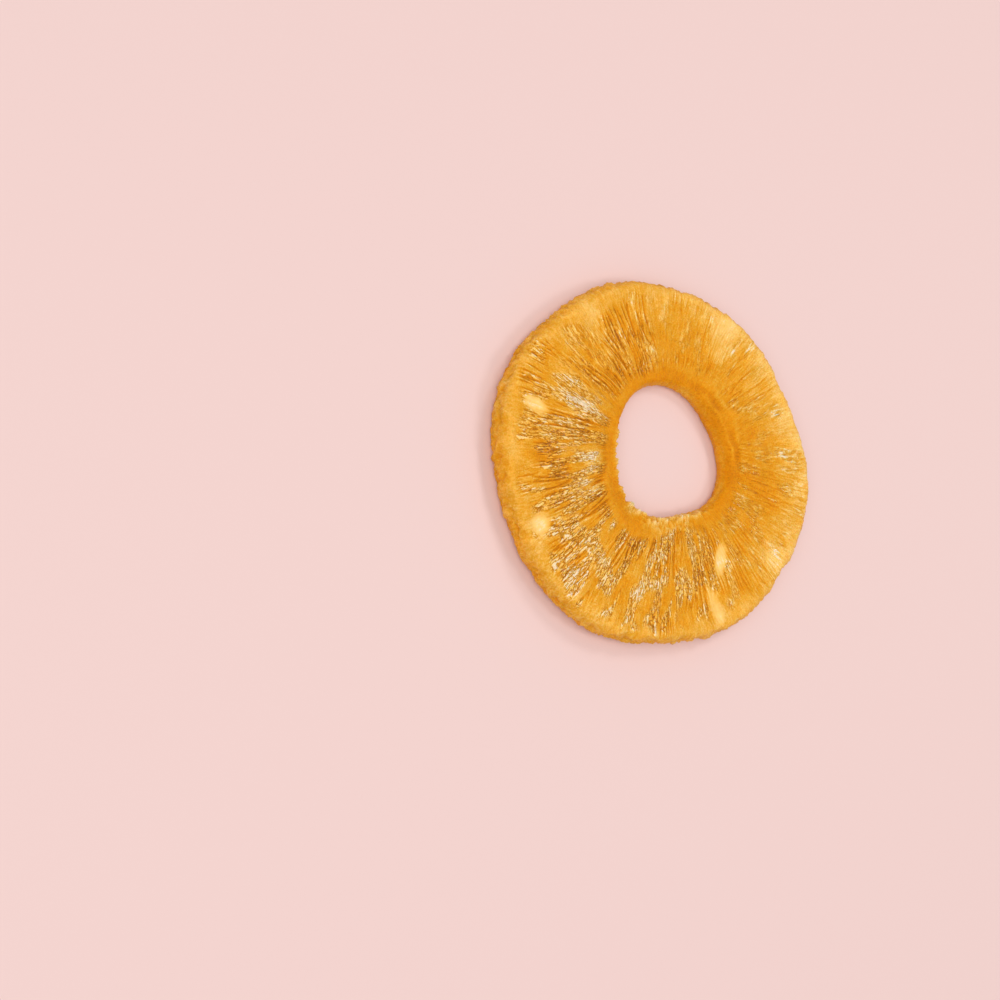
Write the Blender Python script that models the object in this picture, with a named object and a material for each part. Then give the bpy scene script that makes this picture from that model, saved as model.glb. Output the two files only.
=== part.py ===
"""A candied pineapple ring that lies flat on its cut underside.

The ring is one solid. Its plan is two nearly round outlines, the trimmed rim and the core hole, which sits a
little off centre. Columns run from the hole to the rim, as the fibres do, and each column is one closed
cross-section with rounded corners, thinner at the hole. The relief of the real fruit moves the points of that
section: a smooth core band, sunken flesh with radial fibres, the pits that the eyes leave, fluted cut walls and a
torn lip at the hole.
"""

import math

import bmesh
import bpy
from mathutils import Matrix, Vector, noise

MM = 0.001
TURN = 2 * math.pi

# Plan. A wave is (waves per turn, height, where it peaks in degrees), added to the mean radius.
OUTER_RADIUS = 39.2 * MM
OUTER_WAVES = (
    (2, 1.10 * MM, 2),
    (3, 0.35 * MM, -15),
    (4, 0.35 * MM, -21),
    (5, 0.18 * MM, 11),
    (6, 0.32 * MM, -8),
    (7, 0.20 * MM, -4),
)
HOLE_RADIUS = 14.9 * MM
HOLE_WAVES = ((2, 0.20 * MM, 31), (3, 0.77 * MM, -21), (4, 0.23 * MM, -35))
HOLE_CENTRE = Vector((2.6 * MM, 2.1 * MM))

# Section
THICKNESS = 5.4 * MM
HOLE_DROP = 1.2 * MM  # how much thinner the ring is at the hole
HOLE_DROP_WIDTH = 7.0 * MM
TOP_RIM_ROUND = 1.9 * MM
TOP_HOLE_ROUND = 1.3 * MM
BASE_RIM_ROUND = 1.2 * MM
BASE_HOLE_ROUND = 0.8 * MM
WALL_BULGE = 0.35 * MM

# Bands of the cut face. The core band is wider on two sides, and its width wanders, as (per turn, height, seed).
CORE_BAND = 3.0 * MM
CORE_BAND_WAVES = ((2, 1.3 * MM, 42),)
CORE_BAND_WANDER = ((9, 1.4 * MM, 3.3), (34, 0.9 * MM, 8.1))
RIM_BAND = 2.2 * MM
BAND_FADE = 2.0 * MM

# Relief of the cut face. Fibres and swells are (per turn, height, seed), and change over a length along the fibres.
FLESH_DROP = 0.20 * MM
FIBRES = ((58, 0.45 * MM, 1.7), (94, 0.30 * MM, 5.3))
FIBRE_LENGTH = 7.0 * MM
SWELLS = ((6, 0.40 * MM, 1.2),)
SWELL_LENGTH = 20.0 * MM
SMOOTH_SIDE = 15  # degrees, the side where the syrup has filled the fibres
SMOOTH_SHARE = 0.6  # how much of the relief is lost there
SMOOTH_FROM, SMOOTH_TO = 0.25, 0.90  # nearness to that side, 0 to 1, at which the filling starts and is whole
BASE_RIDGES = ((58, 0.35 * MM, 12.6),)
BASE_FIBRE_LENGTH = 9.0 * MM
BASE_TURN = math.radians(57)  # how far the underside's bands are turned from the face's

# Two opposite sides of the rim curl up a little, as the fruit dries
CURL = 0.6 * MM
CURL_PEAK = math.radians(62)
CURL_START = 0.35  # share of the way from hole to rim

# Eyes: (degrees, share of the way from hole to rim, half length, half width, depth, lean in degrees)
EYES = (
    (15, 0.70, 3.6 * MM, 1.8 * MM, 0.35 * MM, 0),
    (58, 0.74, 7.0 * MM, 4.2 * MM, 0.40 * MM, 0),
    (84, 0.45, 2.6 * MM, 1.8 * MM, 0.30 * MM, 0),
    (122, 0.74, 4.6 * MM, 2.4 * MM, 0.40 * MM, 0),
    (164, 0.78, 3.2 * MM, 1.4 * MM, 0.50 * MM, -13),
    (204, 0.83, 2.4 * MM, 2.1 * MM, 0.50 * MM, 0),
    (223, 0.74, 2.4 * MM, 1.8 * MM, 0.35 * MM, 0),
    (258, 0.84, 2.4 * MM, 4.0 * MM, 0.40 * MM, 0),
    (290, 0.80, 3.6 * MM, 1.7 * MM, 0.45 * MM, 9),
    (300, 0.44, 3.7 * MM, 1.5 * MM, 0.55 * MM, -35),
    (324, 0.82, 4.6 * MM, 3.0 * MM, 0.50 * MM, 0),
    (352, 0.86, 2.4 * MM, 3.0 * MM, 0.35 * MM, 0),
)

# Walls. Flutes are (per turn, height, seed), and change over a length down the wall.
RIM_FLUTES = ((52, 0.34 * MM, 7.7), (104, 0.40 * MM, 2.1))
HOLE_FLUTES = ((30, 0.18 * MM, 9.2), (84, 0.24 * MM, 4.4))
FLUTE_LENGTH = 5.0 * MM

# The torn lip of core skin along part of the hole's upper edge
LIP_FROM, LIP_TO, LIP_FADE = 178, 305, 15  # degrees
LIP_HEIGHT = 0.50 * MM
LIP_WIDTH = 1.0 * MM
LIP_RAGS = ((40, 0.7, 6.4),)
LIP_MEAN = 0.65

# Resolution
COLUMNS = 216
CORNER_STEPS = 2
TOP_STEPS = 10
BASE_STEPS = 5

SYRUP_GOLD = (0.78, 0.35, 0.04, 1.0)
GLOSS = 0.35


def smooth_step(low, high, value):
    """0 below low, 1 above high, and an S curve between them."""
    share = min(1.0, max(0.0, (value - low) / (high - low)))
    return share * share * (3 - 2 * share)


def turn_noise(angle, cells, along, seed):
    """Noise from about -1 to 1 that closes on itself after a turn, with so many cells round it."""
    reach = cells / TURN
    place = Vector((reach * math.cos(angle), reach * math.sin(angle), along))
    return noise.noise(place + Vector((seed, 2 * seed, 3 * seed)))


def rolling(kinds, angle, along):
    """Soft waves of several kinds, each (per turn, height, seed)."""
    return sum(height * turn_noise(angle, cells, along, seed) for cells, height, seed in kinds)


def crested(kinds, angle, along):
    """Waves with sharp crests of several kinds, each (per turn, height, seed)."""
    return sum(height * (1 - 4 * abs(turn_noise(angle, cells, along, seed))) for cells, height, seed in kinds)


def waved(radius, waves, angle):
    """A mean radius with its low waves added."""
    return radius + sum(height * math.cos(count * (angle - math.radians(peak))) for count, height, peak in waves)


def heading(angle):
    """The unit vector at an angle in the plan."""
    return Vector((math.cos(angle), math.sin(angle)))


def column_ends(angle):
    """Where the column at an angle starts at the hole's edge and ends at the rim."""
    hole_edge = HOLE_CENTRE + waved(HOLE_RADIUS, HOLE_WAVES, angle) * heading(angle)
    return hole_edge, waved(OUTER_RADIUS, OUTER_WAVES, angle) * heading(angle)


def strength(angle):
    """How strongly the fibres stand out: 1 on the open side, less on the side filled with syrup."""
    filled = 0.5 + 0.5 * math.cos(angle - math.radians(SMOOTH_SIDE))
    return 1 - SMOOTH_SHARE * smooth_step(SMOOTH_FROM, SMOOTH_TO, filled)


def flesh_share(angle, from_hole, from_rim):
    """1 in the fibrous flesh, 0 in the smooth bands at the core and the rim."""
    core = waved(CORE_BAND, CORE_BAND_WAVES, angle) + rolling(CORE_BAND_WANDER, angle, 0.0)
    inner = smooth_step(core, core + BAND_FADE, from_hole)
    return inner * smooth_step(RIM_BAND, RIM_BAND + BAND_FADE, from_rim)


def placed_eye(degrees, share, half_length, half_width, depth, lean):
    """An eye's centre and the direction of its length, with its sizes."""
    hole_edge, rim_edge = column_ends(math.radians(degrees))
    fibre = (rim_edge - hole_edge).normalized()
    fibre.rotate(Matrix.Rotation(math.radians(lean), 2))
    return hole_edge.lerp(rim_edge, share), fibre, half_length, half_width, depth


PLACED_EYES = [placed_eye(*eye) for eye in EYES]


def eye_pits(place):
    """The depth of the eyes' pits at a place on the face."""
    depth = 0.0
    for centre, fibre, half_length, half_width, deepest in PLACED_EYES:
        offset = place - centre
        along = offset.dot(fibre) / half_length
        across = offset.cross(fibre) / half_width
        depth += deepest * math.exp(-(along * along + across * across))
    return depth


def curl(angle, share):
    """How far the drying has lifted the whole thickness, at a share of the way from hole to rim."""
    side = 0.5 + 0.5 * math.cos(2 * (angle - CURL_PEAK))
    reach = max(0.0, (share - CURL_START) / (1 - CURL_START))
    return CURL * side * side * reach * reach


def lip(angle, from_hole):
    """The height of the torn lip."""
    degrees = math.degrees(angle) % 360
    starts = smooth_step(LIP_FROM, LIP_FROM + LIP_FADE, degrees)
    ends = smooth_step(LIP_TO - LIP_FADE, LIP_TO, degrees)
    ragged = LIP_MEAN + rolling(LIP_RAGS, angle, 0.0)
    return LIP_HEIGHT * starts * (1 - ends) * ragged * math.exp(-((from_hole / LIP_WIDTH) ** 2))


def top_relief(place, angle, from_hole, from_rim):
    """How far the upper face stands above its nominal height at a place."""
    radius = place.length
    flesh = flesh_share(angle, from_hole, from_rim)
    fibres = strength(angle) * rolling(FIBRES, angle, radius / FIBRE_LENGTH) - FLESH_DROP
    drop = HOLE_DROP * (1 - smooth_step(0.0, HOLE_DROP_WIDTH, from_hole))
    swell = rolling(SWELLS, angle, radius / SWELL_LENGTH)
    return swell + flesh * fibres - drop - eye_pits(place) + lip(angle, from_hole)


def base_relief(place, angle, from_hole, from_rim):
    """How far the underside is hollowed at a place. Its lands stay flat at height 0."""
    flesh = flesh_share(angle + BASE_TURN, from_hole, from_rim)
    return flesh * max(0.0, crested(BASE_RIDGES, angle, place.length / BASE_FIBRE_LENGTH))


def arc(radius, start, stop, steps):
    """Offsets and normals of a rounded corner, whose own corner point is the origin, as (out, up, out n, up n)."""
    turn = [math.radians(start + (stop - start) * k / steps) for k in range(steps + 1)]
    middle = math.radians((start + stop) / 2)
    inward = (-math.copysign(radius, math.cos(middle)), -math.copysign(radius, math.sin(middle)))
    return [
        (inward[0] + radius * math.cos(a), inward[1] + radius * math.sin(a), math.cos(a), math.sin(a)) for a in turn
    ]


def between(hole_round, rim_round, steps):
    """(share, out) of stations evenly spaced from the end of the hole's corner to the start of the rim's."""
    shares = [k / steps for k in range(1, steps)]
    return [(share, hole_round * (1 - share) - rim_round * share) for share in shares]


def section():
    """One closed cross-section, from the hole's lower corner over the top to the rim and back underneath.

    Each station is (share of the way from hole to rim, share of the thickness, out, up, out n, up n), where out
    and up are offsets and out n and up n the direction in which relief moves it.
    """
    stations = [(0, 0, *point) for point in arc(BASE_HOLE_ROUND, 270, 180, CORNER_STEPS)]
    stations.append((0, 0.5, -WALL_BULGE, 0, -1, 0))
    stations += [(0, 1, *point) for point in arc(TOP_HOLE_ROUND, 180, 90, CORNER_STEPS)]
    stations += [(share, 1, out, 0, 0, 1) for share, out in between(TOP_HOLE_ROUND, TOP_RIM_ROUND, TOP_STEPS)]
    stations += [(1, 1, *point) for point in arc(TOP_RIM_ROUND, 90, 0, CORNER_STEPS)]
    stations.append((1, 0.5, WALL_BULGE, 0, 1, 0))
    stations += [(1, 0, *point) for point in arc(BASE_RIM_ROUND, 0, -90, CORNER_STEPS)]
    underside = between(BASE_HOLE_ROUND, BASE_RIM_ROUND, BASE_STEPS)
    stations += [(share, 0, out, 0, 0, -1) for share, out in reversed(underside)]
    return stations


def station_point(angle, station):
    """Where one station of the section at an angle ends up, with all of the relief on it."""
    share, height_share, out, up, out_normal, up_normal = station
    hole_edge, rim_edge = column_ends(angle)
    fibre = (rim_edge - hole_edge).normalized()
    place = hole_edge.lerp(rim_edge, share) + out * fibre
    height = height_share * THICKNESS + up

    flutes = RIM_FLUTES if share > 0.5 else HOLE_FLUTES
    place += out_normal * abs(out_normal) * rolling(flutes, angle, height / FLUTE_LENGTH) * fibre
    from_hole = (place - hole_edge).length
    from_rim = (place - rim_edge).length
    if height_share > 0:
        height += height_share * top_relief(place, angle, from_hole, from_rim)
    elif up_normal < 0:
        height -= up_normal * base_relief(place, angle, from_hole, from_rim)
    return Vector((place.x, place.y, height + curl(angle, share)))


def ring_mesh(name):
    """The ring as one closed mesh of columns round the hole, set down with its box centred on the origin."""
    work = bmesh.new()
    stations = section()
    columns = [
        [work.verts.new(station_point(TURN * k / COLUMNS, station)) for station in stations] for k in range(COLUMNS)
    ]
    for k, column in enumerate(columns):
        following = columns[(k + 1) % COLUMNS]
        for j in range(len(stations)):
            n = (j + 1) % len(stations)
            work.faces.new((column[j], column[n], following[n], following[j]))
    bmesh.ops.recalc_face_normals(work, faces=work.faces)

    low = Vector([min(v.co[i] for v in work.verts) for i in range(3)])
    high = Vector([max(v.co[i] for v in work.verts) for i in range(3)])
    bmesh.ops.translate(work, verts=work.verts, vec=(-(low.x + high.x) / 2, -(low.y + high.y) / 2, -low.z))
    mesh = bpy.data.meshes.new(name)
    work.to_mesh(mesh)
    work.free()
    mesh.shade_smooth()
    return mesh


def candied_flesh():
    """The glossy golden finish of fruit soaked in syrup."""
    material = bpy.data.materials.new("candied_flesh")
    material.use_nodes = True
    shader = material.node_tree.nodes["Principled BSDF"]
    shader.inputs["Base Color"].default_value = SYRUP_GOLD
    shader.inputs["Roughness"].default_value = GLOSS
    shader.inputs["Metallic"].default_value = 0.0
    return material


def main():
    for obj in list(bpy.data.objects):
        bpy.data.objects.remove(obj)
    ring = bpy.data.objects.new("pineapple_ring", ring_mesh("pineapple_ring"))
    ring.data.materials.append(candied_flesh())
    bpy.context.scene.collection.objects.link(ring)


main()
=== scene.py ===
"""The looks of a candied pineapple ring: fibres, eyes, fluted rim and torn lip, in glossy golden flesh.

The fine mesh is laid out as the solid is. Columns run from the hole to the rim, and each column is one closed
cross-section whose points the relief moves. The same functions give every point its tone, which the material
turns into colour. A pale floor, soft lights and the photograph's viewpoint go with it.
"""

import math

import bpy
from mathutils import Matrix, Vector, noise


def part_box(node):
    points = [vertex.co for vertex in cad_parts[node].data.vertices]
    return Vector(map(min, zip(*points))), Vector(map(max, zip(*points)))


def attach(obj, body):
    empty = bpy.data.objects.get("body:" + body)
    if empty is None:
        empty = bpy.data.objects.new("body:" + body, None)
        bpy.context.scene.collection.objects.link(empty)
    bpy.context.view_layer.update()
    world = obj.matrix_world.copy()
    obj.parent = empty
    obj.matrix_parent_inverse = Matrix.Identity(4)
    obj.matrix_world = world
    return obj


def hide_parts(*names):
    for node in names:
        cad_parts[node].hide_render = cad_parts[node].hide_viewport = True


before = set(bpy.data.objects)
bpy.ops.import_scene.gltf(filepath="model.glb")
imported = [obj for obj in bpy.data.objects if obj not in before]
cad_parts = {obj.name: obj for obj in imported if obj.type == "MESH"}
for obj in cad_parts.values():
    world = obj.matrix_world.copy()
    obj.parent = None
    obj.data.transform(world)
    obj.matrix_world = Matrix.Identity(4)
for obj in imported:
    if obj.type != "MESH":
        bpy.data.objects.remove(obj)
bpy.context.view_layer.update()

NODE = "pineapple_ring"
NODE_LOW, NODE_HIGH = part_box(NODE)
NODE_SIZE = NODE_HIGH - NODE_LOW
DRAWN_WIDTH = 82.21  # the solid's width in the millimetres that every size below is given in
MM = NODE_SIZE.x / DRAWN_WIDTH
TURN = 2 * math.pi

# Plan. A wave is (waves per turn, height, where it peaks in degrees), added to the mean radius.
OUTER_RADIUS = 39.2 * MM
OUTER_WAVES = (
    (2, 1.10 * MM, 2),
    (3, 0.35 * MM, -15),
    (4, 0.35 * MM, -21),
    (5, 0.18 * MM, 11),
    (6, 0.32 * MM, -8),
    (7, 0.20 * MM, -4),
)
HOLE_RADIUS = 14.9 * MM
HOLE_WAVES = ((2, 0.20 * MM, 31), (3, 0.77 * MM, -21), (4, 0.23 * MM, -35))
HOLE_CENTRE = Vector((2.6 * MM, 2.1 * MM))

# Section
THICKNESS = 5.4 * MM
HOLE_DROP = 1.2 * MM  # how much thinner the ring is at the hole
HOLE_DROP_WIDTH = 7.0 * MM
TOP_RIM_ROUND = 1.9 * MM
TOP_HOLE_ROUND = 1.3 * MM
BASE_RIM_ROUND = 1.2 * MM
BASE_HOLE_ROUND = 0.8 * MM
WALL_BULGE = 0.35 * MM

# Bands of the cut face. The core one is wider on two sides, and both wander: (per turn, height, seed).
CORE_BAND = 2.6 * MM
CORE_BAND_WAVES = ((2, 1.2 * MM, 42), (4, 0.5 * MM, 42))
CORE_BAND_WANDER = ((9, 1.4 * MM, 3.3), (34, 0.9 * MM, 8.1))
RIM_BAND = 1.6 * MM
RIM_BAND_WANDER = ((16, 3.4 * MM, 5.1), (60, 2.6 * MM, 2.2))
BAND_FADE = 2.0 * MM
BAND_FINENESS = 0.75  # how much of the finest texture is left in the bands and on the walls

# Ridges round the hole on one side of the core band: (how far from the hole, half width, height share)
RIDGES = ((0.9 * MM, 0.40 * MM, 1.0), (2.3 * MM, 0.50 * MM, -1.0), (3.5 * MM, 0.60 * MM, 0.7))
RIDGE_HEIGHT = 0.16 * MM
RIDGE_SIDE = 42  # degrees
RIDGE_FROM, RIDGE_TO = 0.62, 0.85  # nearness to that side at which the ridges begin and are whole
RIDGE_WANDER = ((9, 1.6 * MM, 5.5), (36, 0.8 * MM, 2.9))
RIDGE_MEAN = 0.7  # how high they stand on the whole
RIDGE_BREAKS = ((14, 1.4, 8.3), (40, 0.8, 1.9))  # how unevenly high they stand along their way

# Relief of the cut face: (per turn, height, seed), changing over a length along the fibres
FLESH_DROP = 0.20 * MM  # how much lower the flesh is than the bands
CREST_SLOPE = 4  # how fast a sharp crest falls as its noise leaves 0
FIBRES = ((58, 0.45 * MM, 1.7), (94, 0.30 * MM, 5.3))
FIBRE_LENGTH = 7.0 * MM
SWELLS = ((6, 0.40 * MM, 1.2),)
SWELL_LENGTH = 20.0 * MM
SMOOTH_SIDE = 15  # degrees, the side where the syrup has filled the fibres
SMOOTH_SHARE = 0.6  # how much of the relief is lost there
SMOOTH_FROM, SMOOTH_TO = 0.25, 0.9  # nearness to that side at which they begin to fill and are filled
BASE_RIDGES = ((58, 0.35 * MM, 12.6),)
BASE_FIBRE_LENGTH = 9.0 * MM
BASE_TURN = math.radians(57)  # how far the underside's bands are turned from the face's

# Furrows between fibres: (per turn, depth, half width, seed). They sway, and open and close in patches.
FURROWS = (
    (52, 0.30 * MM, 0.17 * MM, 3.9),
    (96, 0.22 * MM, 0.15 * MM, 8.7),
    (150, 0.15 * MM, 0.14 * MM, 6.6),
)
FURROW_LENGTH = 18.0 * MM
FURROW_HIGHLIGHT_OFFSET = 2.2  # how many half widths off its middle a furrow has its pale crest, a painted highlight on one side
FURROW_PATCHES = ((22, 1.6, 7.3),)
FURROW_PATCH_LENGTH = 8.0 * MM
FURROWS_CLOSED, FURROWS_OPEN = -0.35, 0.35  # noise at which furrows begin to open and are open
SWAY = ((14, 0.030, 4.2), (33, 0.008, 9.6))  # radians
SWAY_LENGTH = 14.0 * MM

# Crinkled patches, where the fibres dried open between channels of clear syrup: (per turn, height, seed)
PATCHES = ((64, 1.0, 11.3), (140, 0.8, 4.9))
PATCH_LENGTH = 6.0 * MM
PATCH_LOW, PATCH_HIGH = -0.16, 0.12  # noise at which a patch begins and is whole
PATCH_BIAS = 0.14  # added to the patches' noise everywhere
PATCH_EDGE_BIAS = 0.34  # how much less of the flesh is patches towards the hole and the rim
FILLED_BIAS = 0.32  # how much less of the closed side is patches
CLOSED_SIDE = 20  # degrees, where the fine creases are filled
CLOSED_FROM, CLOSED_TO = 0.38, 0.82  # nearness to that side at which they begin to fill and are filled
CRINKLES = ((170, 0.10 * MM, 14.9),)
CRINKLE_LENGTH = 1.3 * MM
MIDDLE_RADIUS = 27 * MM
CRINKLE_SPREAD = 0.27  # the power of the radius by which crinkles widen; less makes them longer
LONG_SIDE = 124  # degrees, where crinkles are longest and faintest, and the furrows' painted shade and highlights strongest
LONG_SHARPNESS = 6  # the power of the nearness to that side that says how much of this there is
LONG_SPREAD_LOSS = 0.13  # how much less the power of the radius is there
LONG_CRINKLES_LOSS = 0.45  # the share of the crinkles that is lost there
LONG_FURROWS_GAIN = 0.25  # how much stronger the furrows' painted shade and the crests' painted highlight are there
FIBRE_UNIT = 100 * MM  # what one unit of a fibre place is along the fibres
WALL_FINENESS = 3.0  # how much shorter the fine creases are down the walls than along the fibres

# Two opposite sides of the rim curl up a little, as the fruit dries
CURL = 0.6 * MM
CURL_PEAK = math.radians(62)
CURL_START = 0.35  # share of the way from hole to rim

# Eyes: (degrees, share of the way from hole to rim, half length, half width, depth, lean, paleness)
EYES = (
    (15, 0.70, 3.6 * MM, 1.8 * MM, 0.35 * MM, 0, 0.05),
    (58, 0.74, 7.0 * MM, 4.2 * MM, 0.40 * MM, 0, 0.17),
    (84, 0.45, 2.6 * MM, 1.8 * MM, 0.30 * MM, 0, 0.0),
    (122, 0.74, 4.6 * MM, 2.4 * MM, 0.40 * MM, 0, 0.16),
    (164, 0.75, 3.2 * MM, 1.6 * MM, 0.50 * MM, -13, 0.36),
    (204, 0.83, 2.4 * MM, 2.3 * MM, 0.50 * MM, 0, 0.34),
    (223, 0.74, 2.4 * MM, 1.8 * MM, 0.35 * MM, 0, 0.0),
    (258, 0.84, 2.4 * MM, 4.0 * MM, 0.40 * MM, 0, 0.0),
    (290, 0.78, 4.4 * MM, 1.7 * MM, 0.45 * MM, 9, 0.26),
    (300, 0.44, 3.7 * MM, 1.6 * MM, 0.55 * MM, -35, 0.42),
    (324, 0.82, 4.6 * MM, 3.0 * MM, 0.50 * MM, 0, 0.12),
    (352, 0.86, 2.4 * MM, 3.0 * MM, 0.35 * MM, 0, 0.04),
)
CLEAR_FROM, CLEAR_TO = 0.05, 0.25  # paleness at which an eye begins to be clear flesh and is clear
CLEAR_LOSS = 0.8  # how much of the relief and the finest texture is lost there

# Stains, dried pale or deep in syrup, and painted highlights: the rows at 157, 186, 201, 223, 251 and 254
# degrees are glints on wet fibres painted white. Each is (degrees, share, half length, half width, lean,
# tone)
STAINS_AND_GLINTS = (
    (157, 0.41, 4.4 * MM, 1.1 * MM, -5, 0.95),
    (150, 0.52, 3.4 * MM, 0.8 * MM, -5, 0.25),
    (171, 0.45, 4.0 * MM, 1.2 * MM, -8, 0.24),
    (186, 0.27, 2.6 * MM, 2.2 * MM, -7, 0.60),
    (185, 0.74, 3.4 * MM, 1.4 * MM, 0, 0.25),
    (201, 0.27, 2.4 * MM, 1.4 * MM, 0, 0.45),
    (194, 0.70, 3.4 * MM, 1.6 * MM, 0, 0.20),
    (223, 0.76, 2.6 * MM, 2.0 * MM, 0, 0.32),
    (218, 0.88, 1.3 * MM, 0.9 * MM, 0, 0.50),
    (251, 0.63, 2.0 * MM, 1.8 * MM, 0, 0.60),
    (254, 0.34, 2.2 * MM, 1.7 * MM, 0, 0.45),
    (304, 0.51, 1.4 * MM, 1.1 * MM, 0, 0.60),
    (326, 0.80, 3.4 * MM, 3.6 * MM, 0, 0.30),
    (354, 0.82, 3.6 * MM, 3.4 * MM, 0, 0.16),
    (358, 0.35, 3.6 * MM, 1.6 * MM, 0, 0.08),
    (4, 0.68, 3.6 * MM, 1.3 * MM, 0, 0.36),
    (10, 0.77, 3.6 * MM, 1.8 * MM, 0, 0.16),
    (20, 0.78, 3.6 * MM, 1.8 * MM, 0, 0.20),
    (23, 0.46, 1.3 * MM, 0.9 * MM, 0, 0.20),
    (32, 0.58, 3.0 * MM, 2.0 * MM, 0, 0.17),
    (37, 0.78, 1.6 * MM, 1.2 * MM, 0, 0.20),
    (44, 0.43, 1.8 * MM, 1.6 * MM, 0, 0.18),
    (55, 0.52, 2.4 * MM, 1.6 * MM, 0, 0.20),
    (91, 0.64, 0.8 * MM, 0.7 * MM, 0, 0.50),
    (99, 0.65, 0.9 * MM, 0.8 * MM, 0, 0.50),
    (99, 0.32, 1.5 * MM, 0.8 * MM, 0, 0.50),
    (187, 0.60, 4.5 * MM, 7.0 * MM, 0, -0.08),
    (182, 0.62, 2.6 * MM, 1.5 * MM, 0, -0.10),
    (226, 0.05, 1.1 * MM, 1.3 * MM, 0, 0.50),
    (222, 0.12, 3.0 * MM, 7.5 * MM, 0, -0.12),
    (182, 0.10, 2.6 * MM, 4.5 * MM, 0, -0.08),
    (108, 0.55, 7.5 * MM, 2.6 * MM, 0, -0.05),
    (262, 0.84, 2.4 * MM, 4.4 * MM, 0, -0.08),
    (345, 0.42, 4.5 * MM, 6.0 * MM, 0, -0.08),
)

# Walls. Flutes are (per turn, height, seed), and change over a length down the wall.
RIM_FLUTES = ((52, 0.34 * MM, 7.7), (104, 0.40 * MM, 2.1), (270, 0.22 * MM, 5.5))
HOLE_FLUTES = ((30, 0.18 * MM, 9.2), (84, 0.24 * MM, 4.4))
FLUTE_LENGTH = 5.0 * MM
RIM_TEETH = ((130, 0.28 * MM, 12.2), (300, 0.12 * MM, 8.8))
HOLE_TEETH = ((150, 0.07 * MM, 4.1),)
TOOTH_LENGTH = 1.2 * MM

# The torn lip of core skin along part of the hole's upper edge
LIP_FROM, LIP_TO, LIP_FADE = 150, 322, 20  # degrees
LIP_HEIGHT = 0.50 * MM
LIP_WIDTH = 0.75 * MM
LIP_FOLD = 1.3 * MM  # how much wider it is where it folds over
LIP_FOLD_MIDDLE, LIP_FOLD_WIDTH = 262, 26  # degrees
LIP_INSET = 0.55  # of its width
LIP_REACH = 0.6 * MM  # how far it hangs over the hole
LIP_RAGS = ((26, 0.8, 6.4), (80, 0.9, 3.8), (180, 0.7, 9.1))
LIP_RAG_LENGTH = 0.8 * MM
LIP_MEAN = 0.72  # how much lip there is where its rags neither add nor take

# Resolution
COLUMNS = 1020
CORNER_STEPS = 5
WALL_STEPS = 4
TOP_STEPS = 54
BASE_STEPS = 9

# Tones of the mesh: the flesh's mean one, how other places differ from it, and what lifts or deepens it
FLESH_TONE = 0.585
WALL_TONE = 0.62
HOLE_WALL_TONE = 0.54
RIM_LIFT, RIM_LIFT_WIDTH = 0.10, 9.0 * MM
CORE_DEEPENING, CORE_WIDTH = 0.19, 5.0 * MM
PALE_SIDE = 25  # degrees, where the flesh is deeper towards the hole and paler towards the rim
PALE_SIDE_SLOPE = 0.26
FIBRE_TONE = 0.15  # for each millimetre of height
# Painted shade darkens the furrows, and a painted highlight lightens a crest beside each
FURROW_SHADE = 0.44
CREST_HIGHLIGHT = 0.22
LINES_LEFT = 0.42  # how much of the fibres' tone and of these painted lines of shade and highlight is left on the closed side
RIDGE_TONE = 0.12
CHANNEL_TONE = -0.04  # between crinkled patches
FLECK_GLINT_TONE = 0.05  # how much paler crinkled places are where syrup has filled them, as golden flecks partly painted as glints
STAIN_AND_GLINT_TONE = 0.40  # for each unit of a dried stain's or painted glint's tone
STAIN_AND_GLINT_CRINKLES = 1.0  # how much more crinkled it is for each
LIP_TONE = 0.38
FLUTE_TONE = 0.15  # for each millimetre that a flute stands out

# Colours of the flesh by tone, from the painted shade in a furrow to white, for dried fibre and painted
# glints
TONES = (
    (0.00, (0.43, 0.150, 0.010)),
    (0.15, (0.55, 0.203, 0.006)),
    (0.30, (0.67, 0.242, 0.003)),
    (0.45, (0.755, 0.298, 0.005)),
    (0.60, (0.80, 0.366, 0.022)),
    (0.72, (0.88, 0.445, 0.062)),
    (0.84, (0.95, 0.545, 0.105)),
    (0.93, (1.00, 0.622, 0.155)),
    (1.00, (1.00, 0.728, 0.350)),
)
CLOUD_TINTS = ((1.03, 0.93, 0.45, 1.0), (0.98, 1.05, 1.45, 1.0))  # of clear flesh, and of cloudy

# Noises of the material. On the crinkle place: cells for each unit, detail, and how steep each use is
CRINKLE_CELLS = 64.0
CRINKLE_DETAIL = 2.0
FOLD_STEEPNESS = 3.5
CREASE_THINNESS = 12.5

# On the fibre place: (cells for each unit of its axes, detail, steepness, middle)
STROKES = ((85, 85, 45), 2.0, 4.0, 0.5)
# Flecks along the fibres: partly golden marks and partly painted glints
FLECKS = ((56, 56, 50), 2.0, 6.5, 0.53)

# In the ring's own space: (cell size, detail, steepness)
GRAIN = (0.32 * MM, 1.0, 5.0)
LUMPS = (1.2 * MM, 2.0, 4.0)
CLOUDS = (5.0 * MM, 3.0, 4.0)
TINTS = (3.2 * MM, 3.0, 4.0)

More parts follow.
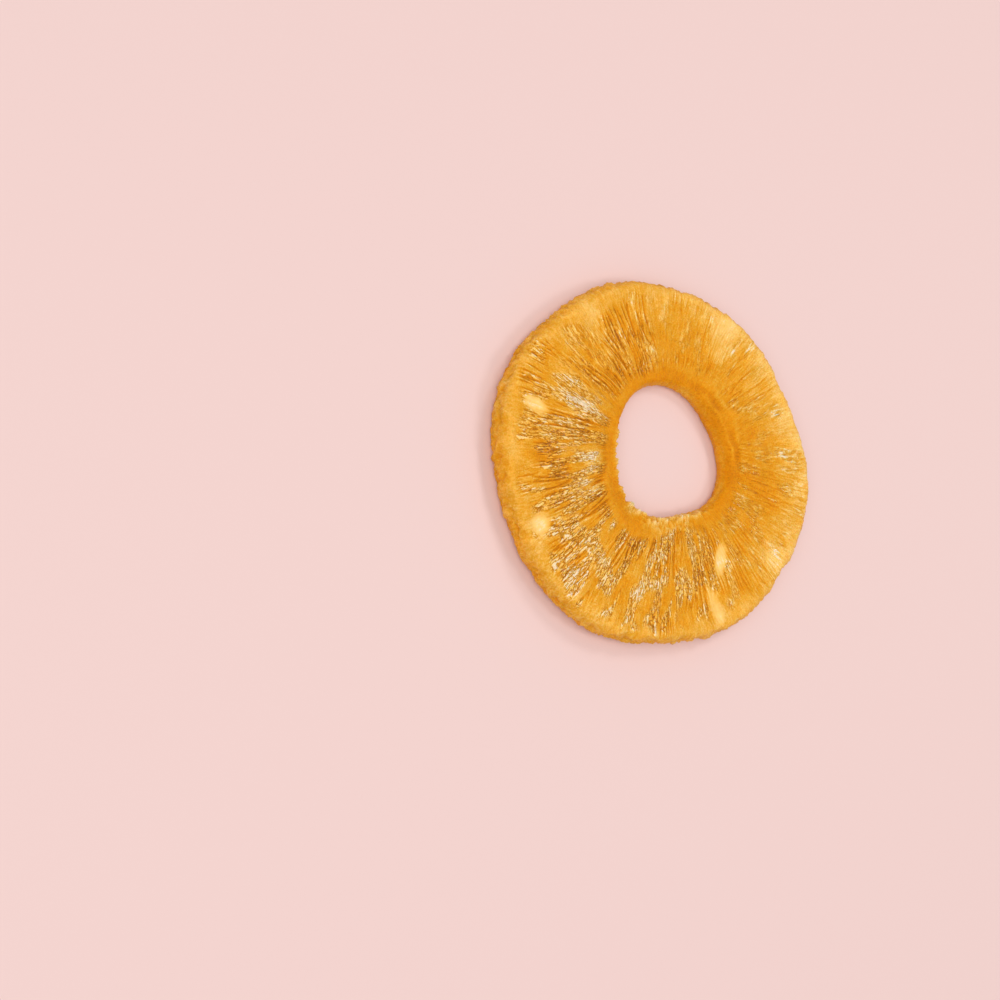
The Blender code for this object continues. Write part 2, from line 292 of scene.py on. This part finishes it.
# Values that the mesh hands to the material, and how much each part of the texture adds to each look
MESH_LOOKS = ("tone", "crinkled", "flecked", "fine")
TONE_SHARES = {
    "tone": 1.0,
    "clouds": 0.09,
    "lumps": 0.05,
    # Feathered flecks are partly golden marks of the flesh and partly painted highlights, glints made pale in
    # colour
    "feathered_and_glinting": 0.24,
    "crinkled": 0.32,
    # Folds are painted paler on top, a painted highlight, and creases painted dark, a painted shade, beside
    # their bumps
    "folded_and_lit": 0.24,
    "creased_and_shaded": -0.86,
    "stroked": 0.14,
    "grained": 0.11,
}
BUMP_SHARES = {
    "folded_and_lit": 0.16,
    "creased_and_shaded": -0.60,
    "feathered_and_glinting": 0.55,
    "stroked": 0.26,
    "grained": 0.16,
    "lumps": 0.35,
}
BUMP_DISTANCE = 0.22 * MM
COAT_SHARES = {"crinkled": 0.20, "flecked": 0.18}
CLOUD_SHARES = {"tints": 0.5, "tone": 2.0}
CLOUD_START = -0.66  # how cloudy flesh of tone 0 is
FLESH_SURFACE = {
    "Roughness": 0.40,
    "Specular IOR Level": 0.16,
    "Specular Tint": (1.0, 0.80, 0.35, 1.0),
    "Subsurface Weight": 0.20,
    "Subsurface Radius": (1.0, 0.45, 0.10),
    "Subsurface Scale": 1.0 * MM,
    "Coat Roughness": 0.10,
}

# Floor
FLOOR_PINK = (0.82, 0.61, 0.59, 1.0)
FLOOR_ROUGHNESS = 0.8
FLOOR_HALF = 900 * MM
FLOOR_GAP = 0.05 * MM  # how far it lies below the ring

# Lights. A softbox is (name, azimuth, elevation, distance, size, power), with its angles in degrees.
LIGHT_TINT = (1.0, 0.97, 0.95)
ROOM_STRENGTH = 0.57
SOFTBOXES = (
    ("wide", 193, 56, 800 * MM, 700 * MM, 2.85),
    ("glint_low", -22, 55, 700 * MM, 160 * MM, 0.7),
    ("glint_high", 50, 52, 700 * MM, 160 * MM, 0.7),
)

# Camera. It looks straight down from its place, and both are then tilted about an axis across the plan.
CAMERA_PLACE = Vector((-32.0 * MM, -7.49 * MM, 300.4 * MM))
TILT = math.radians(-32.57)
TILT_AXIS = math.radians(102.76)
SENSOR_WIDTH = 36
LENS = 50.76
CLIP_START = 10 * MM


def smooth_step(low, high, value):
    """0 below low, 1 above high, and an S curve between them."""
    share = min(1.0, max(0.0, (value - low) / (high - low)))
    return share * share * (3 - 2 * share)


def turn_noise(angle, cells, along, seed):
    """Noise from about -1 to 1 that closes on itself after a turn, with so many cells round it."""
    reach = cells / TURN
    place = Vector((reach * math.cos(angle), reach * math.sin(angle), along))
    return noise.noise(place + Vector((seed, 2 * seed, 3 * seed)))


def rolling(kinds, angle, along):
    """Soft waves of several kinds, each (per turn, height, seed)."""
    return sum(height * turn_noise(angle, cells, along, seed) for cells, height, seed in kinds)


def crested(kinds, angle, along):
    """Waves with sharp crests of several kinds, each (per turn, height, seed)."""
    return sum(
        height * (1 - CREST_SLOPE * abs(turn_noise(angle, cells, along, seed)))
        for cells, height, seed in kinds
    )


def waved(radius, waves, angle):
    """A mean radius with its low waves added."""
    return radius + sum(
        height * math.cos(count * (angle - math.radians(peak))) for count, height, peak in waves
    )


def heading(angle):
    """The unit vector at an angle in the plan."""
    return Vector((math.cos(angle), math.sin(angle)))


def column_ends(angle):
    """Where the column at an angle starts at the hole's edge and ends at the rim."""
    hole_edge = HOLE_CENTRE + waved(HOLE_RADIUS, HOLE_WAVES, angle) * heading(angle)
    return hole_edge, waved(OUTER_RADIUS, OUTER_WAVES, angle) * heading(angle)


def placed(degrees, share, half_length, half_width, *values, lean):
    """A spot's centre, the direction of its length, its two half sizes and its other values."""
    hole_edge, rim_edge = column_ends(math.radians(degrees))
    fibre = (rim_edge - hole_edge).normalized()
    fibre.rotate(Matrix.Rotation(math.radians(lean), 2))
    return hole_edge.lerp(rim_edge, share), fibre, half_length, half_width, *values


PLACED_EYES = [placed(*spot[:5], spot[6], lean=spot[5]) for spot in EYES]
PLACED_STAINS_AND_GLINTS = [placed(*spot[:4], spot[5], lean=spot[4]) for spot in STAINS_AND_GLINTS]


def nearness(angle, side):
    """How near an angle is to a side given in degrees: 1 at that side and 0 opposite it."""
    return 0.5 + 0.5 * math.cos(angle - math.radians(side))


def strength(angle):
    """How strongly the fibres stand out: 1 on the open side, less on the side filled with syrup."""
    return 1 - SMOOTH_SHARE * smooth_step(SMOOTH_FROM, SMOOTH_TO, nearness(angle, SMOOTH_SIDE))


def flesh_share(angle, from_hole, from_rim):
    """1 in the fibrous flesh, 0 in the smooth bands at the core and the rim."""
    core = waved(CORE_BAND, CORE_BAND_WAVES, angle) + rolling(CORE_BAND_WANDER, angle, 0.0)
    rim = RIM_BAND + rolling(RIM_BAND_WANDER, angle, 0.0)
    return smooth_step(core, core + BAND_FADE, from_hole) * smooth_step(rim, rim + BAND_FADE, from_rim)


def far_squared(place, centre, fibre, half_length, half_width):
    """The square of a place's distance from a spot's centre, where 1 is the spot's edge."""
    offset = place - centre
    return (offset.dot(fibre) / half_length) ** 2 + (offset.cross(fibre) / half_width) ** 2


def eye_pits(place):
    """The depth of the eyes' pits at a place on the face, and how pale they make it."""
    depth = pale = 0.0
    for *spot, deepest, paleness in PLACED_EYES:
        far = far_squared(place, *spot)
        depth += deepest * math.exp(-far)
        pale += paleness * math.exp(-far * far)
    return depth, pale


def stains_and_glints(place):
    """How pale a place on the face is made by dried stain marks and painted glints, and how deep by syrup
    stain marks.
    """
    pale = deep = 0.0
    for *spot, tone in PLACED_STAINS_AND_GLINTS:
        share = math.exp(-far_squared(place, *spot))
        pale += max(0.0, tone) * share
        deep -= min(0.0, tone) * share
    return pale, deep


def openness(angle):
    """1 where the fine creases are open, 0 where syrup has filled them to a few golden flecks."""
    return 1 - smooth_step(CLOSED_FROM, CLOSED_TO, nearness(angle, CLOSED_SIDE))


def crinkled_share(angle, radius, share, open_share):
    """1 in a crinkled patch and 0 in the clear channels between them."""
    bias = PATCH_BIAS - PATCH_EDGE_BIAS * (2 * share - 1) ** 2 - FILLED_BIAS * (1 - open_share)
    return smooth_step(PATCH_LOW, PATCH_HIGH, rolling(PATCHES, angle, radius / PATCH_LENGTH) + bias)


def long_share(angle):
    """1 at the side with the longest crinkles, falling to 0 opposite it."""
    return nearness(angle, LONG_SIDE) ** LONG_SHARPNESS


def furrows(angle, radius):
    """How deep the furrows are at a place, and the shares of it that are furrow, for painted shade, and
    crest, for a painted highlight.

    A furrow runs where its noise is zero. The noise's change over a half width says how many half widths off
    that is.
    """
    patches = rolling(FURROW_PATCHES, angle, radius / FURROW_PATCH_LENGTH)
    opened = smooth_step(FURROWS_CLOSED, FURROWS_OPEN, patches)
    depth = share = crest = 0.0
    for cells, deepest, half_width, seed in FURROWS:
        here = turn_noise(angle, cells, radius / FURROW_LENGTH, seed)
        change = turn_noise(angle + half_width / radius, cells, radius / FURROW_LENGTH, seed) - here
        off = here / change if change else math.inf
        depth += deepest * opened * math.exp(-(off**2))
        share = max(share, opened * math.exp(-(off**2)))
        crest = max(crest, opened * math.exp(-((off - FURROW_HIGHLIGHT_OFFSET) ** 2)))
    return depth, share, crest


def core_ridges(angle, from_hole):
    """How high the ridges round the hole stand at a place, from -1 to 1."""
    near = smooth_step(RIDGE_FROM, RIDGE_TO, nearness(angle, RIDGE_SIDE))
    off = from_hole - rolling(RIDGE_WANDER, angle, 0.0)
    waves = sum(height * math.exp(-(((off - far) / half_width) ** 2)) for far, half_width, height in RIDGES)
    whole = max(0.0, RIDGE_MEAN + rolling(RIDGE_BREAKS, angle, from_hole / CORE_BAND))
    return near * whole * waves


def curl(angle, share):
    """How far the drying has lifted the whole thickness, at a share of the way from hole to rim."""
    side = 0.5 + 0.5 * math.cos(2 * (angle - CURL_PEAK))
    reach = max(0.0, (share - CURL_START) / (1 - CURL_START))
    return CURL * side * side * reach * reach


def lip(angle, from_hole):
    """How much of the torn lip there is at a place, from 0 to about 1."""
    degrees = math.degrees(angle) % 360
    starts = smooth_step(LIP_FROM, LIP_FROM + LIP_FADE, degrees)
    ends = smooth_step(LIP_TO - LIP_FADE, LIP_TO, degrees)
    ragged = max(0.0, LIP_MEAN + rolling(LIP_RAGS, angle, from_hole / LIP_RAG_LENGTH))
    width = LIP_WIDTH + LIP_FOLD * math.exp(-(((degrees - LIP_FOLD_MIDDLE) / LIP_FOLD_WIDTH) ** 2))
    return starts * (1 - ends) * ragged * math.exp(-((from_hole / width - LIP_INSET) ** 2))


def top_surface(place, angle, from_hole, from_rim):
    """How far the upper face stands above its nominal height at a place, and its look as in MESH_LOOKS."""
    radius = place.length
    flesh = flesh_share(angle, from_hole, from_rim)
    swayed = angle + rolling(SWAY, angle, radius / SWAY_LENGTH)
    fibres = rolling(FIBRES, angle, radius / FIBRE_LENGTH)
    furrow_depth, furrow, crest = furrows(swayed, radius)
    drop = HOLE_DROP * (1 - smooth_step(0.0, HOLE_DROP_WIDTH, from_hole))
    swell = rolling(SWELLS, angle, radius / SWELL_LENGTH)
    pit, pale = eye_pits(place)
    dry_and_glint, deep = stains_and_glints(place)

    open_share = openness(angle)
    clear_eye = smooth_step(CLEAR_FROM, CLEAR_TO, pale)
    texture_left = 1 - CLEAR_LOSS * clear_eye
    share = from_hole / (from_hole + from_rim)
    long = long_share(angle)
    crinkled = flesh * crinkled_share(swayed, radius, share, open_share) * (1 - clear_eye)
    crinkled *= 1 - LONG_CRINKLES_LOSS * long
    fibres_up = fibres - furrow_depth + crinkled * crested(CRINKLES, angle, radius / CRINKLE_LENGTH)
    rough = flesh * strength(angle) * texture_left
    ridge = core_ridges(angle, from_hole)
    relief = swell + rough * fibres_up - flesh * FLESH_DROP - drop - pit
    relief += LIP_HEIGHT * lip(angle, from_hole)
    relief += RIDGE_HEIGHT * ridge

    line_share = flesh * (LINES_LEFT + (1 - LINES_LEFT) * open_share) * texture_left
    # Painted shade in the furrows and a painted highlight on the crest beside each
    furrow_shade_and_highlight = (CREST_HIGHLIGHT * crest - FURROW_SHADE * furrow) * (1 + LONG_FURROWS_GAIN * long)
    tone = FLESH_TONE + line_share * (FIBRE_TONE * fibres / MM + furrow_shade_and_highlight)
    tone += FLECK_GLINT_TONE * (1 - open_share) * crinkled + RIDGE_TONE * ridge
    tone += flesh * CHANNEL_TONE * (1 - crinkled)
    tone += RIM_LIFT * (1 - smooth_step(0.0, RIM_LIFT_WIDTH, from_rim))
    tone -= CORE_DEEPENING * (1 - smooth_step(0.0, CORE_WIDTH, from_hole))
    slope = PALE_SIDE_SLOPE * max(0.0, math.cos(angle - math.radians(PALE_SIDE)))
    # Stain marks lighten or deepen the tone here; the whitest are painted highlights, glints on wet fibres
    # made white
    tone += slope * (share - 0.5) + pale + STAIN_AND_GLINT_TONE * dry_and_glint - deep
    fine = (BAND_FINENESS + (1 - BAND_FINENESS) * flesh) * texture_left
    dried = crinkled + STAIN_AND_GLINT_CRINKLES * dry_and_glint * (1 - clear_eye)
    return relief, (tone, dried * open_share, dried * (1 - open_share), fine)


def base_surface(place, angle, from_hole, from_rim):
    """How far the underside is hollowed at a place, and its look. Its lands stay flat at height 0."""
    flesh = flesh_share(angle + BASE_TURN, from_hole, from_rim)
    hollow = flesh * max(0.0, crested(BASE_RIDGES, angle, place.length / BASE_FIBRE_LENGTH))
    return hollow, (FLESH_TONE - FIBRE_TONE * hollow / MM, 0.0, 0.0, BAND_FINENESS)


def arc(radius, start, stop, steps):
    """Offsets of a rounded corner from its own corner point, and its normals, as (out, up, out n, up n)."""
    turn = [math.radians(start + (stop - start) * k / steps) for k in range(steps + 1)]
    middle = math.radians((start + stop) / 2)
    inward = (-math.copysign(radius, math.cos(middle)), -math.copysign(radius, math.sin(middle)))
    normals = [(math.cos(a), math.sin(a)) for a in turn]
    return [(inward[0] + radius * out, inward[1] + radius * up, out, up) for out, up in normals]


def wall(column_share, base_round, top_round):
    """Stations up a wall from the base's corner to the top's, as section gives them."""
    side = 1 if column_share else -1
    low, high = base_round, THICKNESS - top_round
    heights = [low + (high - low) * k / (WALL_STEPS + 1) for k in range(1, WALL_STEPS + 1)]
    bulges = [WALL_BULGE * math.sin(math.pi * (h - low) / (high - low)) ** 2 for h in heights]
    return [(column_share, h / THICKNESS, side * b, 0, side, 0) for h, b in zip(heights, bulges)]


def between(hole_round, rim_round, steps):
    """(share, out) of stations evenly spaced from the end of the hole's corner to the start of the rim's."""
    shares = [k / steps for k in range(1, steps)]
    return [(share, hole_round * (1 - share) - rim_round * share) for share in shares]


def section():
    """One closed cross-section, from the hole's lower corner over the top to the rim and back underneath.

    Each station is (share of the way from hole to rim, share of the thickness, out, up, out n, up n), where
    out and up are offsets and out n and up n the direction in which relief moves it.
    """
    stations = [(0, 0, *point) for point in arc(BASE_HOLE_ROUND, 270, 180, CORNER_STEPS)]
    stations += wall(0, BASE_HOLE_ROUND, TOP_HOLE_ROUND)
    stations += [(0, 1, *point) for point in arc(TOP_HOLE_ROUND, 180, 90, CORNER_STEPS)]
    face = between(TOP_HOLE_ROUND, TOP_RIM_ROUND, TOP_STEPS)
    stations += [(share, 1, out, 0, 0, 1) for share, out in face]
    stations += [(1, 1, *point) for point in arc(TOP_RIM_ROUND, 90, 0, CORNER_STEPS)]
    stations += reversed(wall(1, BASE_RIM_ROUND, TOP_RIM_ROUND))
    stations += [(1, 0, *point) for point in arc(BASE_RIM_ROUND, 0, -90, CORNER_STEPS)]
    underside = between(BASE_HOLE_ROUND, BASE_RIM_ROUND, BASE_STEPS)
    stations += [(share, 0, out, 0, 0, -1) for share, out in reversed(underside)]
    return stations


def station_point(angle, station):
    """Where one station of the section at an angle ends up, and its look as in MESH_LOOKS."""
    share, height_share, out, up, out_normal, up_normal = station
    hole_edge, rim_edge = column_ends(angle)
    fibre = (rim_edge - hole_edge).normalized()
    place = hole_edge.lerp(rim_edge, share) + out * fibre
    height = height_share * THICKNESS + up

    at_rim = share > 0.5
    flutes = rolling(RIM_FLUTES if at_rim else HOLE_FLUTES, angle, height / FLUTE_LENGTH)
    flutes += crested(RIM_TEETH if at_rim else HOLE_TEETH, angle, height / TOOTH_LENGTH)
    place += out_normal * abs(out_normal) * flutes * fibre
    from_hole = (place - hole_edge).length
    from_rim = (place - rim_edge).length
    wall_tone = WALL_TONE if at_rim else HOLE_WALL_TONE
    look = wall_tone + FLUTE_TONE * flutes / MM, 0.0, 0.0, BAND_FINENESS
    if height_share > 0:
        relief, top_look = top_surface(place, angle, from_hole, from_rim)
        height += height_share * relief
        facing_up = up_normal * up_normal
        look = [side * (1 - facing_up) + top * facing_up for side, top in zip(look, top_look)]
    elif up_normal < 0:
        relief, look = base_surface(place, angle, from_hole, from_rim)
        height -= up_normal * relief
    torn = height_share * lip(angle, from_hole)
    place -= LIP_REACH * torn * fibre
    return Vector((place.x, place.y, height + curl(angle, share))), (look[0] + LIP_TONE * torn, *look[1:])


def ring_mesh(name):
    """The fine ring as one closed mesh with its looks, on the solid's box, and how far it was shifted."""
    stations = section()
    count = len(stations)
    made = [station_point(TURN * k / COLUMNS, station) for k in range(COLUMNS) for station in stations]
    points = [point for point, _ in made]
    low = Vector([min(p[i] for p in points) for i in range(3)])
    high = Vector([max(p[i] for p in points) for i in range(3)])
    middle = (NODE_LOW + NODE_HIGH) / 2 - (low + high) / 2
    shift = Vector((middle.x, middle.y, NODE_LOW.z - low.z))

    faces = [
        (
            k * count + j,
            k * count + (j + 1) % count,
            (k + 1) % COLUMNS * count + (j + 1) % count,
            (k + 1) % COLUMNS * count + j,
        )
        for k in range(COLUMNS)
        for j in range(count)
    ]
    mesh = bpy.data.meshes.new(name)
    mesh.from_pydata([p + shift for p in points], [], faces)
    for which, label in enumerate(MESH_LOOKS):
        values = [look[which] for _, look in made]
        mesh.attributes.new(label, "FLOAT", "POINT").data.foreach_set("value", values)
    fibre_places, crinkle_places = [], []
    for p in points:
        radius = math.hypot(p.x, p.y)
        power = CRINKLE_SPREAD - LONG_SPREAD_LOSS * long_share(math.atan2(p.y, p.x))
        spread = (radius / MIDDLE_RADIUS) ** power
        down = (THICKNESS - p.z) * (1 if radius > MIDDLE_RADIUS else -1)
        fibre_places += [p.x / radius, p.y / radius, (radius + WALL_FINENESS * down) / FIBRE_UNIT]
        crinkle_places += [spread * p.x / radius, spread * p.y / radius, down / MIDDLE_RADIUS]
    for label, places in (("fibre_place", fibre_places), ("crinkle_place", crinkle_places)):
        mesh.attributes.new(label, "FLOAT_VECTOR", "POINT").data.foreach_set("vector", places)
    mesh.shade_smooth()
    return mesh, shift


def new_material(name):
    """A node material, with its tree and its Principled shader."""
    material = bpy.data.materials.new(name)
    material.use_nodes = True
    return material, material.node_tree, material.node_tree.nodes["Principled BSDF"]


def attribute(tree, name, output):
    """One output of the mesh's own values."""
    node = tree.nodes.new("ShaderNodeAttribute")
    node.attribute_name = name
    return node.outputs[output]


def noise_texture(tree, vector, scale, detail):
    """Noise from 0 to 1."""
    node = tree.nodes.new("ShaderNodeTexNoise")
    node.inputs["Scale"].default_value = scale
    node.inputs["Detail"].default_value = detail
    tree.links.new(vector, node.inputs["Vector"])
    return node.outputs["Fac"]


def math_node(tree, operation, first, second):
    """The sum, product or the like of two sockets or numbers."""
    node = tree.nodes.new("ShaderNodeMath")
    node.operation = operation
    for socket, value in zip(node.inputs, (first, second)):
        if isinstance(value, bpy.types.NodeSocket):
            tree.links.new(value, socket)
        else:
            socket.default_value = value
    return node.outputs[0]


def stretched(tree, vector, scales):
    """A texture place multiplied along each of its axes."""
    node = tree.nodes.new("ShaderNodeVectorMath")
    node.operation = "MULTIPLY"
    tree.links.new(vector, node.inputs[0])
    node.inputs[1].default_value = scales
    return node.outputs["Vector"]


def swings(tree, noise_value, steepness, middle=0.5):
    """A noise from 0 to 1 spread to either side of its middle, and cut off at -1 and 1."""
    steeper = math_node(tree, "MULTIPLY", math_node(tree, "SUBTRACT", noise_value, middle), steepness)
    return math_node(tree, "MAXIMUM", math_node(tree, "MINIMUM", steeper, 1.0), -1.0)


def lines(tree, noise_value, thinness):
    """Thin lines where a noise passes its middle: 1 on a line and 0 away from it."""
    off = math_node(tree, "ABSOLUTE", math_node(tree, "SUBTRACT", noise_value, 0.5), 0.0)
    fall = math_node(tree, "MULTIPLY", off, thinness)
    return math_node(tree, "MAXIMUM", math_node(tree, "SUBTRACT", 1.0, fall), 0.0)


def weighed(tree, texture, shares):
    """The sum of a texture's parts, each times its share."""
    total = 0.0
    for label, share in shares.items():
        total = math_node(tree, "ADD", total, math_node(tree, "MULTIPLY", texture[label], share))
    return total


def mixed(tree, kind, share, first, second):
    """Two colours, each a socket or a constant, blended by a share."""
    node = tree.nodes.new("ShaderNodeMix")
    node.data_type = "RGBA"
    node.blend_type = kind
    for name, value in (("Factor_Float", share), ("A_Color", first), ("B_Color", second)):
        socket = next(s for s in node.inputs if s.identifier == name)
        if isinstance(value, bpy.types.NodeSocket):
            tree.links.new(value, socket)
        else:
            socket.default_value = value
    return next(s for s in node.outputs if s.identifier == "Result_Color")


def along_fibres(tree, place, cells, detail, steepness, middle):
    """Noise from -1 to 1 on the fibre place, with so many cells for each unit of its axes."""
    return swings(tree, noise_texture(tree, stretched(tree, place, cells), 1.0, detail), steepness, middle)


def through_flesh(tree, place, cell, detail, steepness):
    """Noise from -1 to 1 in the ring's own space, with cells of one size."""
    return swings(tree, noise_texture(tree, place, 1.0 / cell, detail), steepness)


def fine_texture(tree):
    """The parts of the flesh's texture by name, from the mesh's own values and from noises."""
    texture = {label: attribute(tree, label, "Fac") for label in MESH_LOOKS}
    fibre_place = attribute(tree, "fibre_place", "Vector")
    crinkle_place = attribute(tree, "crinkle_place", "Vector")
    object_place = tree.nodes.new("ShaderNodeTexCoord").outputs["Object"]
    crinkle_noise = noise_texture(tree, crinkle_place, CRINKLE_CELLS, CRINKLE_DETAIL)
    whole = math_node(tree, "MINIMUM", texture["crinkled"], 1.0)

    for label, share, kind in (
        # Folds carry painted highlights and creases painted shade, in tone as well as in bump
        ("folded_and_lit", texture["crinkled"], swings(tree, crinkle_noise, FOLD_STEEPNESS)),
        ("creased_and_shaded", whole, lines(tree, crinkle_noise, CREASE_THINNESS)),
        # Feathers: partly golden flecks, partly painted glints made pale
        ("feathered_and_glinting", texture["flecked"], along_fibres(tree, fibre_place, *FLECKS)),
        ("stroked", texture["fine"], along_fibres(tree, fibre_place, *STROKES)),
        ("grained", texture["fine"], through_flesh(tree, object_place, *GRAIN)),
    ):
        texture[label] = math_node(tree, "MULTIPLY", share, kind)
    for label, kind in (("lumps", LUMPS), ("clouds", CLOUDS), ("tints", TINTS)):
        texture[label] = through_flesh(tree, object_place, *kind)
    return texture


def flesh_colour(tree, texture):
    """The flesh's colour by its tone, tinted where it is clear and where it is cloudy."""
    ramp = tree.nodes.new("ShaderNodeValToRGB")
    stops = ramp.color_ramp.elements
    while len(stops) < len(TONES):
        stops.new(0.5)
    for stop, (position, colour) in zip(stops, TONES):
        stop.position = position
        stop.color = (*colour, 1.0)
    tree.links.new(weighed(tree, texture, TONE_SHARES), ramp.inputs["Fac"])
    cloudiness = math_node(tree, "ADD", weighed(tree, texture, CLOUD_SHARES), CLOUD_START)
    tint = mixed(tree, "MIX", cloudiness, *CLOUD_TINTS)
    return mixed(tree, "MULTIPLY", 1.0, ramp.outputs["Color"], tint)


def candied_flesh():
    """Glossy golden flesh, whose tone comes from the mesh and from creases and strokes along the fibres, with
    painted shade in the creases and painted highlights on the folds and feathers.
    """
    material, tree, shader = new_material("candied_flesh")
    texture = fine_texture(tree)
    tree.links.new(flesh_colour(tree, texture), shader.inputs["Base Color"])
    tree.links.new(weighed(tree, texture, COAT_SHARES), shader.inputs["Coat Weight"])

    bump = tree.nodes.new("ShaderNodeBump")
    bump.inputs["Strength"].default_value = 1.0
    bump.inputs["Distance"].default_value = BUMP_DISTANCE
    tree.links.new(weighed(tree, texture, BUMP_SHARES), bump.inputs["Height"])
    tree.links.new(bump.outputs["Normal"], shader.inputs["Normal"])
    for name, value in FLESH_SURFACE.items():
        shader.inputs[name].default_value = value
    return material


def pineapple_ring():
    """The dressed ring, in place of the solid, and how far its drawing was shifted."""
    mesh, shift = ring_mesh("candied_ring")
    ring = bpy.data.objects.new("candied_ring", mesh)
    bpy.context.scene.collection.objects.link(ring)
    mesh.materials.append(candied_flesh())
    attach(ring, "root")
    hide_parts(NODE)
    return shift


def floor():
    """A plain pale pink floor."""
    mesh = bpy.data.meshes.new("floor")
    corners = [(x * FLOOR_HALF, y * FLOOR_HALF, 0) for x, y in ((-1, -1), (1, -1), (1, 1), (-1, 1))]
    mesh.from_pydata(corners, [], [(0, 1, 2, 3)])
    material, _, shader = new_material("floor")
    shader.inputs["Base Color"].default_value = FLOOR_PINK
    shader.inputs["Roughness"].default_value = FLOOR_ROUGHNESS
    mesh.materials.append(material)
    plane = bpy.data.objects.new("floor", mesh)
    plane.location.z = NODE_LOW.z - FLOOR_GAP
    bpy.context.scene.collection.objects.link(plane)


def soft_light(name, azimuth, elevation, distance, size, power):
    """A square softbox that faces the ring. Azimuth 0 is +X, and angles are in degrees."""
    a, e = math.radians(azimuth), math.radians(elevation)
    back = Vector((math.cos(a) * math.cos(e), math.sin(a) * math.cos(e), math.sin(e)))
    lamp = bpy.data.lights.new(name, "AREA")
    lamp.size = size
    lamp.energy = power
    lamp.color = LIGHT_TINT
    holder = bpy.data.objects.new(name, lamp)
    holder.location = back * distance
    holder.rotation_euler = (-back).to_track_quat("-Z", "Y").to_euler()
    bpy.context.scene.collection.objects.link(holder)


def lights():
    """A dim pale room and its softboxes: a wide one, and two small ones opposite it for the glints."""
    world = bpy.data.worlds.new("room")
    world.use_nodes = True
    background = world.node_tree.nodes["Background"]
    background.inputs["Color"].default_value = (*LIGHT_TINT, 1.0)
    background.inputs["Strength"].default_value = ROOM_STRENGTH
    bpy.context.scene.world = world
    for softbox in SOFTBOXES:
        soft_light(*softbox)


def camera(shift):
    """The photograph's own viewpoint, shifted as the ring's drawing was."""
    tilt = Matrix.Rotation(TILT, 4, heading(TILT_AXIS).to_3d())
    view = bpy.data.cameras.new("camera")
    view.sensor_width = SENSOR_WIDTH
    view.lens = LENS
    view.clip_start = CLIP_START
    holder = bpy.data.objects.new("camera", view)
    holder.matrix_world = Matrix.Translation(tilt @ CAMERA_PLACE + shift) @ tilt
    bpy.context.scene.collection.objects.link(holder)
    bpy.context.scene.camera = holder


bpy.context.scene.view_settings.view_transform = "Standard"
camera(pineapple_ring())
floor()
lights()
